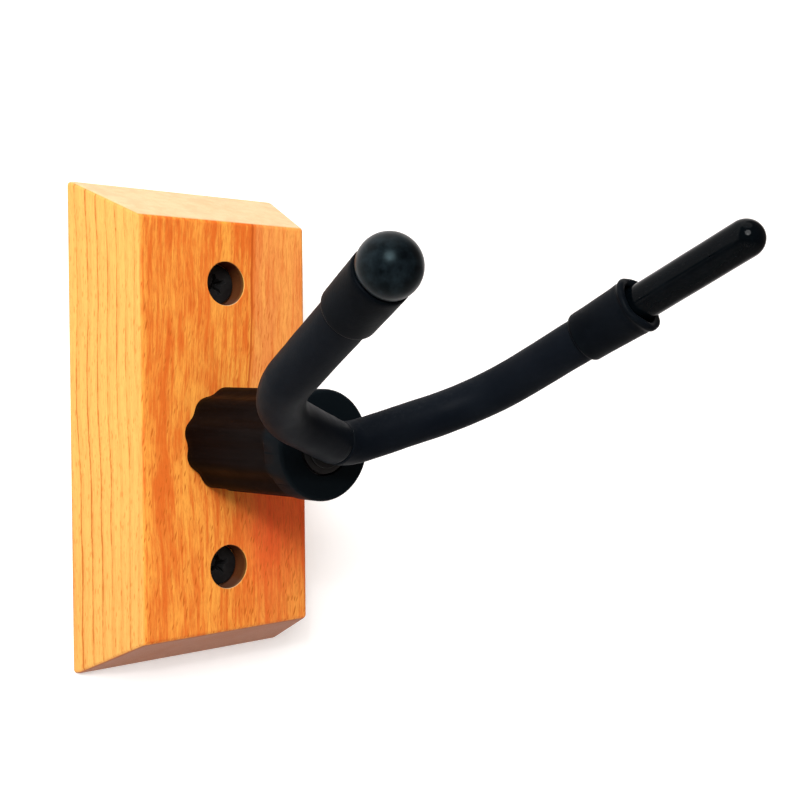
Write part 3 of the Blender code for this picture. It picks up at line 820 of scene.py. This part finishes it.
def buildRightEnd(cuffSurface, capSurface):
    start, stop = ends["rightCuff"]
    bore, out, lip = ends["bore"], ends["cuff"], ends["lip"]
    cuff = [(start + 0.1 * mm, bore), (start, bore + 0.15 * mm), (start, out - 0.35 * mm),
            (start + 0.12 * mm, out - 0.18 * mm), (start + 0.4 * mm, out - 0.04 * mm)]
    length = stop - start
    for k in range(13):
        flare = out + 0.32 * mm * (k / 12) ** 1.6
        cuff.append((start + 0.9 * mm + (length - 4.6 * mm) * k / 12, flare))
    # the mouth is rolled back on itself into a thick bead
    bead = ends["bead"]
    middle, radius = stop - bead, lip - bead
    cuff += [(stop - 2.9 * mm, out + 0.40 * mm), (stop - 2.35 * mm, out + 0.30 * mm)]
    for k in range(13):
        angle = math.radians(-50.0 + 215.0 * k / 12)
        cuff.append((middle + bead * math.sin(angle), radius + bead * math.cos(angle)))
    cuff += [(stop - 1.9 * mm, bore + 0.05 * mm), (stop - 3.0 * mm, bore)]

    def uneven(distance, angle, radius):
        spot = Vector((math.cos(angle), math.sin(angle), 0.4))
        near = max(0.0, 1.0 - (stop - distance) / (5.0 * mm))
        shift = 0.8 * mm * near * noise.noise(spot * 1.15)
        slow = noise.noise(spot * 1.4 + Vector((0.0, 0.0, distance / (5.0 * mm))))
        swell = 0.10 * mm * near * noise.noise(spot * 2.3) + 0.04 * mm * slow
        outside = 1.0 if radius > bore + 0.2 * mm else 0.0
        return distance + shift - 0.2 * mm * near, radius + swell * outside

    endPiece("rightCuff", "right_cuff", 1.0, cuff, cuffSurface, True, uneven)
    centre, slim = ends["rightTip"]
    seat = ends["rightSeat"] + gap
    core = yoke["tubeBore"]
    cap = [(centre, 0.6 * mm), (centre, core), (seat, core),
           (seat, slim - 0.15 * mm), (seat + 0.15 * mm, slim)]
    cap += [(seat + 0.5 * mm + (centre - seat - 0.5 * mm) * k / 24, slim) for k in range(25)]
    for k in range(1, 25):
        angle = (math.pi / 2.0 - 0.03) * k / 24
        cap.append((centre + slim * math.sin(angle), slim * math.cos(angle)))

    def dipped(distance, angle, radius):
        spot = Vector((math.cos(angle), math.sin(angle), distance / (8.0 * mm)))
        inside = radius < yoke["tubeBore"] + 0.1 * mm and distance < centre + 0.1 * mm  # the bore stays true
        return distance, radius + (0.0 if inside else 0.035 * mm * noise.noise(spot * 1.1) * radius / slim)

    endPiece("rightLongCap", "right_end_cap", 1.0, cap, capSurface, False, dipped)


tubeSurface = rubberFinish("mattTube", rubber["colour"], rubber["rough"])
cuffSurface = rubberFinish("cuffRubber", rubber["cuffColour"], rubber["cuffRough"])
tipSurface = vinylFinish("dippedVinyl", *gloss["tip"])
domeSurface = vinylFinish("dullVinyl", *gloss["dome"])
buildTube("leftTube", "left_sleeve", -1.0, ends["leftSeat"], tubeSurface)
buildTube("rightTube", "right_sleeve", 1.0, ends["rightSeat"], tubeSurface)
print("tubes made")
buildLeftEnd(cuffSurface, domeSurface)
buildRightEnd(cuffSurface, tipSurface)
print("cuffs and caps made")


# metal and hard plastic
metal = {
    "zinc": rgb(0.62, 0.63, 0.64),
    "zincDull": rgb(0.38, 0.39, 0.40),
    "black": rgb(0.0080, 0.0078, 0.0082),
    "blackDull": rgb(0.013, 0.0125, 0.0125),
    "enamel": rgb(0.0040, 0.0045, 0.0052),
    "enamelDull": rgb(0.007, 0.0075, 0.008),
    "bare": rgb(0.060, 0.058, 0.056),
    "nylon": rgb(0.05, 0.15, 0.42),
    "nylonShade": rgb(0.035, 0.11, 0.34),
    "bearing": rgb(0.012, 0.012, 0.013),
    "bearingShade": rgb(0.020, 0.020, 0.021),
}


def platedFinish(name, colour, dull, metallic, rough):
    finish, w, shader = newFinish(name, Metallic=metallic, Specular_IOR_Level=0.2)
    place = w.add("ShaderNodeTexCoord").outputs["Object"]
    touched = w.group(handling, {"Place": place, "Patch Size": 3.0, "Rub Length": 2.5}).outputs
    edge = w.group(edges, {"Width": 0.25 * mm, "Gain": 2.5}).outputs["Edge"]
    tone = w.blend(touched["Smudge"], colour, dull)
    rubbed = metal["bare"] if metallic < 1.0 else colour
    w.feed(shader["Base Color"], w.blend(w.times(edge, 0.5), tone, rubbed))
    base = w.plus(rough, w.times(touched["Smudge"], 0.14))
    w.feed(shader["Roughness"], w.minus(base, w.times(edge, 0.06)))
    w.feed(shader["Normal"], w.bump(w.noise(place, 2400.0, 3.0, 0.6), 0.18, 0.03 * mm))
    return finish


zinc = platedFinish("zincPlate", metal["zinc"], metal["zincDull"], 1.0, 0.30)
blackened = platedFinish("blackenedSteel", metal["black"], metal["blackDull"], 0.30, 0.38)
enamel = platedFinish("blackEnamel", metal["enamel"], metal["enamelDull"], 0.0, 0.32)


def mouldedFinish(name, colour, shade, rough):
    finish, w, shader = newFinish(name, Specular_IOR_Level=0.3)
    _, grain, touched = marks(w, 0.5, 0.2, 4.0, 3.0)
    w.feed(shader["Base Color"], w.blend(touched["Smudge"], colour, shade))
    w.feed(shader["Roughness"], w.plus(rough, w.times(touched["Smudge"], 0.1)))
    w.feed(shader["Normal"], w.bump(grain["Height"], 0.2, 0.04 * mm))
    return finish


nylon = mouldedFinish("blueNylon", metal["nylon"], metal["nylonShade"], 0.42)
bearing = mouldedFinish("bearingPlastic", metal["bearing"], metal["bearingShade"], 0.42)

screw = {
    "head": 5.2 * mm,
    "core": 1.75 * mm,
    "thread": 2.3 * mm,
    "pitch": 3.2 * mm,
    "threadFrom": -3.0 * mm,
    "point": 4.0 * mm,
    "recessTurn": 20.0,
    "recess": ((-0.6 * mm, 3.35 * mm, 0.66 * mm), (2.6 * mm, 1.0 * mm, 0.42 * mm)),  # depth, arm, half width
}


def threadShape(start, stop, pitch, rise, flat):
    # adds a helical ridge to a turned piece, fading in and out at its ends
    def shape(distance, angle, radius):
        if distance < start or distance > stop:
            return distance, radius
        phase = (distance / pitch - angle / fullTurn) % 1.0
        ridge = max(0.0, 1.0 - abs(phase - 0.5) / flat)
        fade = min(1.0, (distance - start) / pitch, (stop - distance) / pitch)
        return distance, radius + rise * ridge * fade
    return shape


def buildScrew(name, node):
    low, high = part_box(node)
    height = (low.z + high.z) / 2.0
    top, tip = low.y, high.y
    head, core, pitch, point = (screw[key] for key in ("head", "core", "pitch", "point"))
    profile = [(top + 0.05 * mm, 0.4 * mm), (top, 2.0 * mm), (top, head - 0.45 * mm)]
    profile += [(top + 0.25 * mm - 0.25 * mm * math.cos(a), head - 0.25 * mm + 0.25 * mm * math.sin(a))
                for a in (0.3, 0.7, 1.1, math.pi / 2.0)]
    profile += [(top + 0.7 * mm, head), (top + 1.1 * mm, head - 0.45 * mm),
                (top + 2.2 * mm, head - 1.9 * mm), (top + 3.2 * mm, head - 2.8 * mm),
                (top + 3.9 * mm, core + 0.2 * mm)]
    y = top + 4.6 * mm
    while y < tip - point:
        profile.append((y, core + (0.2 * mm if y < screw["threadFrom"] else 0.0)))
        y += pitch / 14.0
    for k in range(9):
        share = k / 8.0
        profile.append((tip - point + point * share, core * (1.0 - share) + 0.12 * mm * share))
    thread = threadShape(screw["threadFrom"], tip - 1.0 * mm, pitch, screw["thread"] - core, 0.22)
    rings = turnOnSwivel(profile, 48, thread, height)
    points, faces = skin(rings)
    piece = makePiece(name, points, faces, "base")
    # cross recess: two tapered slots and a pilot in the middle
    for tilt in (screw["recessTurn"], screw["recessTurn"] + 90.0):
        c, s = math.cos(math.radians(tilt)), math.sin(math.radians(tilt))
        wedge = []
        for depth, arm, thick in screw["recess"]:
            corners = ((-arm, -thick), (arm, -thick), (arm, thick), (-arm, thick))
            wedge.append([Vector((u * c - v * s, top + depth, height + u * s + v * c)) for u, v in corners])
        carve(piece, wedge)
    carve(piece, turnOnSwivel([(top - 0.3 * mm, 1.75 * mm), (top + 2.9 * mm, 0.4 * mm)], 24, None, height))
    dress(piece, blackened, node, smooth=30.0)


for name, node in (("upperScrew", "upper_wall_screw"), ("lowerScrew", "lower_wall_screw")):
    buildScrew(name, node)
print("wall screws made")


def swivelRing(name, node, profile, sides, surface, body, shape=None):
    points, faces = skin(turnOnSwivel(profile, sides, shape), closed=True)
    dress(makePiece(name, points, faces, body), surface, node, smooth=32.0)


def ringProfile(node, inner, outer, soft):
    # section of a washer or ring with softened edges, as thick as its node
    low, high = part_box(node)
    a, b = low.y, high.y
    return [(a, inner + soft), (a, outer - soft), (a + 0.4 * soft, outer - 0.3 * soft), (a + soft, outer),
            (b - soft, outer), (b - 0.4 * soft, outer - 0.3 * soft), (b, outer - soft), (b, inner + soft),
            (b - soft, inner), (a + soft, inner)]


stem = {
    "nose": 3.6 * mm,
    "collar": 5.4 * mm,
    "shank": 4.0 * mm,
    "threadCore": 3.45 * mm,
    "threadFrom": -18.0 * mm,
    "threadRise": 0.53 * mm,
    "pitch": 1.25 * mm,
    "rodSeat": 3.475 * mm,
}


def buildStem():
    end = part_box("yoke_stem")[1].y
    shoulder = hubLow.y - gap
    nose, collar, shank = stem["nose"], stem["collar"], stem["shank"]
    profile = [(swivel.y - 1.0 * mm, nose), (shoulder - 0.4 * mm, nose),
               (shoulder - 0.4 * mm, collar - 0.1 * mm), (shoulder - 0.3 * mm, collar),
               (shoulder - 0.1 * mm, collar), (shoulder, collar - 0.1 * mm), (shoulder, shank)]
    threadFrom, pitch, core = stem["threadFrom"], stem["pitch"], stem["threadCore"]
    steps = 12
    for k in range(1, steps):
        profile.append((shoulder + (threadFrom - shoulder) * k / steps, shank))
    y = threadFrom
    while y < end - 0.7 * mm:
        profile.append((y, core))
        y += pitch / 10.0
    profile += [(end - 0.6 * mm, core - 0.05 * mm), (end, 2.9 * mm), (end, 0.5 * mm)]
    thread = threadShape(threadFrom - 0.3 * mm, end - 0.4 * mm, pitch, stem["threadRise"], 0.42)
    points, faces = skin(turnOnSwivel(profile, 64, thread))
    piece = makePiece("yokeStem", points, faces, "yoke")
    path = list(reversed(armPath(-1.0, 1.0 * mm)[:12])) + armPath(1.0, 1.0 * mm)[1:12]
    carve(piece, alongPath(path, [stem["rodSeat"]] * len(path), 32))
    dress(piece, enamel, "yoke_stem", smooth=32.0)


def buildRod():
    left = armPath(-1.0, ends["leftDome"][0] + 1.5 * mm)
    right = armPath(1.0, ends["rightTip"][0] - 0.4 * mm)
    path = list(reversed(left)) + right[1:]
    rings = alongPath(path, [yoke["rodRadius"]] * len(path), 32)
    points, faces = skin(rings)
    dress(makePiece("bentRod", points, faces, "yoke"), enamel, "yoke_rod", smooth=40.0)


washer = {
    "hole": 4.3 * mm,
    "back": (10.0 * mm, 0.18 * mm),  # radius and softening of the edge
    "thrust": (6.7 * mm, 0.12 * mm),
    "split": (7.15 * mm, 0.12 * mm),
    "opening": math.radians(8.0),
}


def buildSplitWasher():
    low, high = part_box("spring_washer")
    inner, opening = washer["hole"], washer["opening"]
    outer, soft = washer["split"]
    rings = []
    steps = 96
    for k in range(steps + 1):
        angle = opening + (fullTurn - 2.0 * opening) * k / steps
        arm = Vector((math.cos(angle), 0.0, math.sin(angle)))
        a, b = low.y + 0.02 * mm, high.y - 0.02 * mm
        section = [(inner + soft, a), (outer - soft, a), (outer, a + soft), (outer, b - soft),
                   (outer - soft, b), (inner + soft, b), (inner, b - soft), (inner, a + soft)]
        rings.append([arm * r + Vector((0.0, y, swivelHeight)) for r, y in section])
    points, faces = skin(rings)
    dress(makePiece("splitWasher", points, faces, "yoke"), zinc, "spring_washer", smooth=32.0)


nut = {
    "halfFlats": 6.5 * mm,
    "corner": 7.45 * mm,
    "hole": 4.3 * mm,
    "ring": (5.5 * mm, 0.2 * mm),  # radius of the nylon ring and softening of its edge
}


def buildNut():
    low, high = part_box("lock_nut")
    near, far = low.y, high.y
    halfFlats, corner, hole = nut["halfFlats"], nut["corner"], nut["hole"]

    def hexed(distance, angle, radius):
        face = math.radians(60.0) * round(angle / math.radians(60.0))
        flat = halfFlats / math.cos(angle - face)
        return distance, min(radius, flat) if radius > 5.0 * mm else radius

    profile = [(near + 0.02 * mm, 6.3 * mm), (near + 0.1 * mm, 6.5 * mm), (near + 0.6 * mm, corner)]
    profile += [(near + 0.6 * mm + (far - near - 1.2 * mm) * k / 6, corner) for k in range(1, 7)]
    profile += [(far - 0.1 * mm, 6.5 * mm), (far - 0.02 * mm, 6.2 * mm), (far, 5.95 * mm),
                (far, hole + 0.3 * mm), (far - 0.3 * mm, hole), (near + 0.3 * mm, hole),
                (near, hole + 0.3 * mm)]
    swivelRing("lockNut", "lock_nut", profile, 96, zinc, "yoke", hexed)
    ring = ringProfile("nut_locking_ring", hole, *nut["ring"])
    swivelRing("lockRing", "nut_locking_ring", ring, 72, nylon, "yoke")


buildStem()
buildRod()
ring = ringProfile("rear_flat_washer", washer["hole"], *washer["back"])
swivelRing("backWasher", "rear_flat_washer", ring, 96, zinc, "base")
ring = ringProfile("hub_thrust_washer", washer["hole"], *washer["thrust"])
swivelRing("thrustWasher", "hub_thrust_washer", ring, 96, blackened, "base")
buildSplitWasher()
buildNut()
for node in ("hub_rear_bush", "hub_front_bush"):
    frame["nodes"][node].data.materials.clear()
    frame["nodes"][node].data.materials.append(bearing)
print("swivel hardware made")


room = {
    "wallSpread": 3.0,
    "floorDrop": 0.75,
    "wallBehind": 0.4 * mm,
    "white": rgb(0.88, 0.87, 0.865),
    "whiteShade": rgb(0.90, 0.89, 0.885),
    "wallGlow": 0.30,
    "floorColour": rgb(0.62, 0.60, 0.585),
    "floorShade": rgb(0.66, 0.64, 0.625),
    "sky": rgb(1.0, 0.80, 0.72),
    "skyStrength": 0.27,
    "seen": rgb(1.0, 0.995, 0.99),
    "seenStrength": 0.93,
    "lampTarget": Vector((0.0, -0.05, 0.0)),
}


def stagePlane(name, corners, surface):
    mesh = bpy.data.meshes.new(name)
    mesh.from_pydata(corners, [], [tuple(range(len(corners)))])
    plane = bpy.data.objects.new(name, mesh)
    world.objects.link(plane)
    plane.data.materials.append(surface)


def paintFinish(name, colour, shade, mottle, glow, seeThroughBack):
    finish, w, shader = newFinish(name, Roughness=0.9, Emission_Color=rgb(1.0, 0.985, 0.98),
                                  Emission_Strength=glow, Specular_IOR_Level=0.1)
    place = w.add("ShaderNodeTexCoord").outputs["Object"]
    w.feed(shader["Base Color"], w.blend(w.noise(place, mottle, 3.0), colour, shade))
    if seeThroughBack:
        clear = w.add("ShaderNodeBsdfTransparent").outputs[0]
        back = w.add("ShaderNodeNewGeometry").outputs["Backfacing"]
        plain = w.tree.nodes["Principled BSDF"].outputs[0]
        both = w.add("ShaderNodeMixShader", {0: back, 1: plain, 2: clear})
        w.tree.links.new(both.outputs[0], w.tree.nodes["Material Output"].inputs["Surface"])
    return finish


def buildRoom():
    reach, drop = room["wallSpread"], -room["floorDrop"]
    back = -room["wallBehind"]
    wall = [(-reach, back, drop), (reach, back, drop), (reach, back, reach), (-reach, back, reach)]
    paint = paintFinish("wallPaint", room["white"], room["whiteShade"], 40.0, room["wallGlow"], True)
    stagePlane("wallBackdrop", wall, paint)
    floor = [(-reach, reach, drop), (-reach, -reach, drop), (reach, -reach, drop), (reach, reach, drop)]
    paint = paintFinish("floorPaint", room["floorColour"], room["floorShade"], 6.0, 0.0, False)
    stagePlane("floorBackdrop", floor, paint)


# heading, height, distance, size, power and colour of each soft lamp
lamps = {
    "keyWindow": (-40.0, 29.0, 1.6, 0.85, 34.0, (0.985, 1.0, 1.0)),
    "smallLamp": (-40.0, 21.5, 1.5, 0.07, 3.0, (1.0, 1.0, 1.0)),
    "ceilingPanel": (-15.0, 74.0, 1.2, 0.9, 3.4, (1.0, 0.99, 0.98)),
    "behindWall": (170.0, 25.0, 1.1, 0.8, 9.0, (1.0, 0.99, 0.98)),
}


def softLight(name, heading, height, distance, size, power, colour):
    lamp = bpy.data.lights.new(name, "AREA")
    lamp.shape = "DISK"
    lamp.size = size
    lamp.energy = power
    lamp.color = colour
    holder = bpy.data.objects.new(name, lamp)
    a, e = math.radians(heading), math.radians(height)
    away = Vector((math.sin(a) * math.cos(e), -math.cos(a) * math.cos(e), math.sin(e)))
    holder.location = room["lampTarget"] + away * distance
    holder.rotation_mode = "QUATERNION"
    holder.rotation_quaternion = (-away).to_track_quat("-Z", "Y")
    world.objects.link(holder)


def buildLight():
    sky = bpy.data.worlds.new("studio")
    sky.use_nodes = True
    w = Wiring(sky.node_tree)
    lit = sky.node_tree.nodes["Background"]
    lit.inputs[0].default_value = room["sky"]
    lit.inputs[1].default_value = room["skyStrength"]
    pale = w.add("ShaderNodeBackground", {0: room["seen"], 1: room["seenStrength"]})
    straight = w.add("ShaderNodeLightPath").outputs["Is Camera Ray"]
    both = w.add("ShaderNodeMixShader", {0: straight, 1: lit.outputs[0], 2: pale.outputs[0]})
    sky.node_tree.links.new(both.outputs[0], sky.node_tree.nodes["World Output"].inputs["Surface"])
    scene.world = sky
    for name, setting in lamps.items():
        softLight(name, *setting)
    scene.view_settings.view_transform = "Standard"
    scene.view_settings.look = "None"


camera = {
    "place": Vector((-0.1808, -0.2925, 0.0138)),
    "heading": -42.09,
    "pitch": 1.28,
    "roll": -0.42,
    "sensor": 36.0,
    "lens": 55.2735,
}


def buildCamera():
    data = bpy.data.cameras.new("viewer")
    data.sensor_width = camera["sensor"]
    data.lens = camera["lens"]
    data.clip_start, data.clip_end = 0.01, 20.0
    holder = bpy.data.objects.new("viewer", data)
    a, e, r = (math.radians(camera[k]) for k in ("heading", "pitch", "roll"))
    ahead = Vector((-math.sin(a) * math.cos(e), math.cos(a) * math.cos(e), -math.sin(e)))
    right = ahead.cross(Vector((0.0, 0.0, 1.0))).normalized()
    up = right.cross(ahead)
    tiltRight = right * math.cos(r) + up * math.sin(r)
    tiltUp = up * math.cos(r) - right * math.sin(r)
    turned = Matrix((tiltRight, tiltUp, -ahead)).transposed()
    holder.matrix_world = Matrix.Translation(camera["place"]) @ turned.to_4x4()
    world.objects.link(holder)
    scene.camera = holder


buildRoom()
buildLight()
buildCamera()
print("room, light and camera set")
